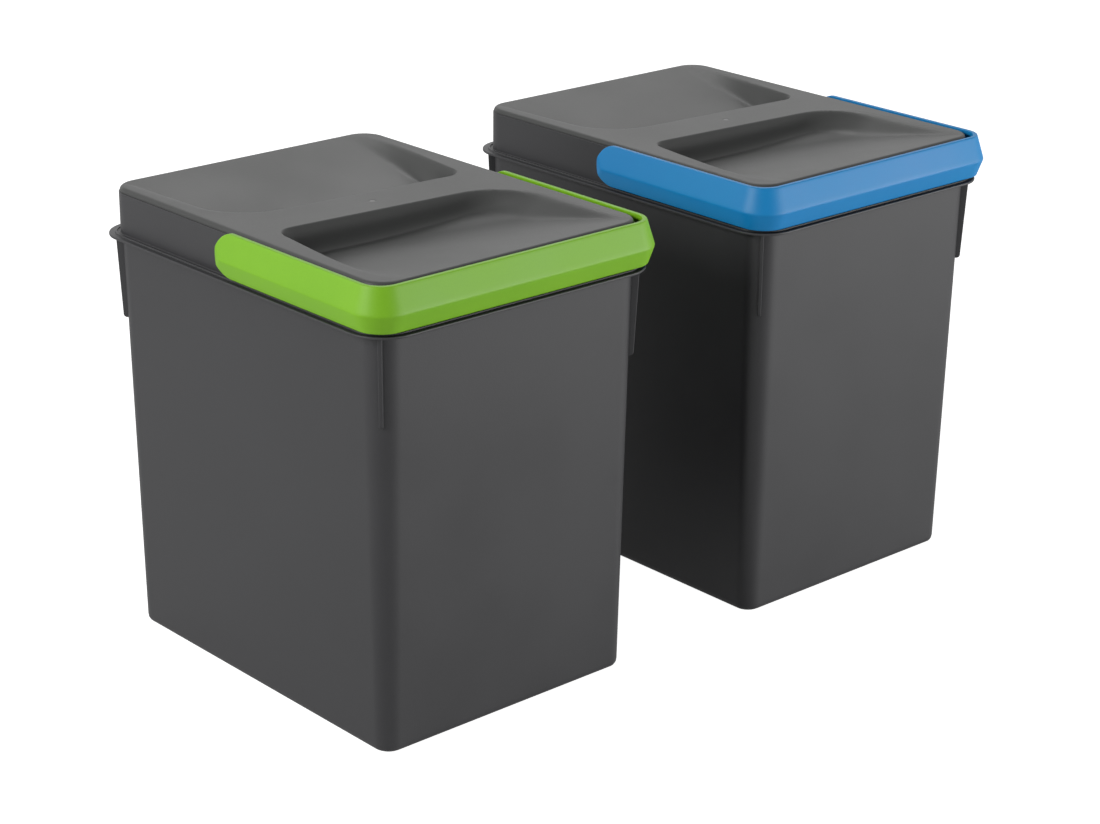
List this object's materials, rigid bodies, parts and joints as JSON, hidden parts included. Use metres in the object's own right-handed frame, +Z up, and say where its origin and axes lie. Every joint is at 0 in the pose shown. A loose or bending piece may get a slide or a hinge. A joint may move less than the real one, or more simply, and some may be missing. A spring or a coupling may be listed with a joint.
{
  "type": "double recycling bin",
  "caption": "Pair of grey waste bins with lift-off lids, finger recesses and swing-over handles, one green and one blue.",
  "frame": {"origin": "floor level, at the middle of the pair's bounding box", "axes": "+Z up; +X from the green-handled bin to the blue-handled bin, the longest extent; -Y towards the side where the handles rest, Y being the shortest extent"},
  "size_m": [0.4766, 0.2572, 0.266],
  "materials": {
    "bucket_plastic": "satin",
    "lid_plastic": "satin",
    "green_plastic": "satin",
    "blue_plastic": "satin"
  },
  "bodies": {
    "green_bucket": {"green_bin_bucket": "bucket_plastic"},
    "green_lid": {"green_bin_lid": "lid_plastic"},
    "green_handle": {"green_bin_handle": "green_plastic"},
    "blue_bucket": {"blue_bin_bucket": "bucket_plastic"},
    "blue_lid": {"blue_bin_lid": "lid_plastic"},
    "blue_handle": {"blue_bin_handle": "blue_plastic"}
  },
  "joints": [
    {"name": "blue_bin_lift", "type": "slide", "parent": "green_bucket", "child": "blue_bucket", "axis": [0, 0, 1], "range_m": [0, 0.3]},
    {"name": "green_lid_lift", "type": "slide", "parent": "green_bucket", "child": "green_lid", "axis": [0, 0, 1], "range_m": [0, 0.12]},
    {"name": "blue_lid_lift", "type": "slide", "parent": "blue_bucket", "child": "blue_lid", "axis": [0, 0, 1], "range_m": [0, 0.12]},
    {"name": "green_handle_swing", "type": "hinge", "parent": "green_bucket", "child": "green_handle", "pos_m": [-0.1375, 0.00115, 0.2536], "axis": [-1, 0, 0], "range_deg": [0, 180]},
    {"name": "blue_handle_swing", "type": "hinge", "parent": "blue_bucket", "child": "blue_handle", "pos_m": [0.1375, 0.00115, 0.2536], "axis": [-1, 0, 0], "range_deg": [0, 180]}
  ]
}
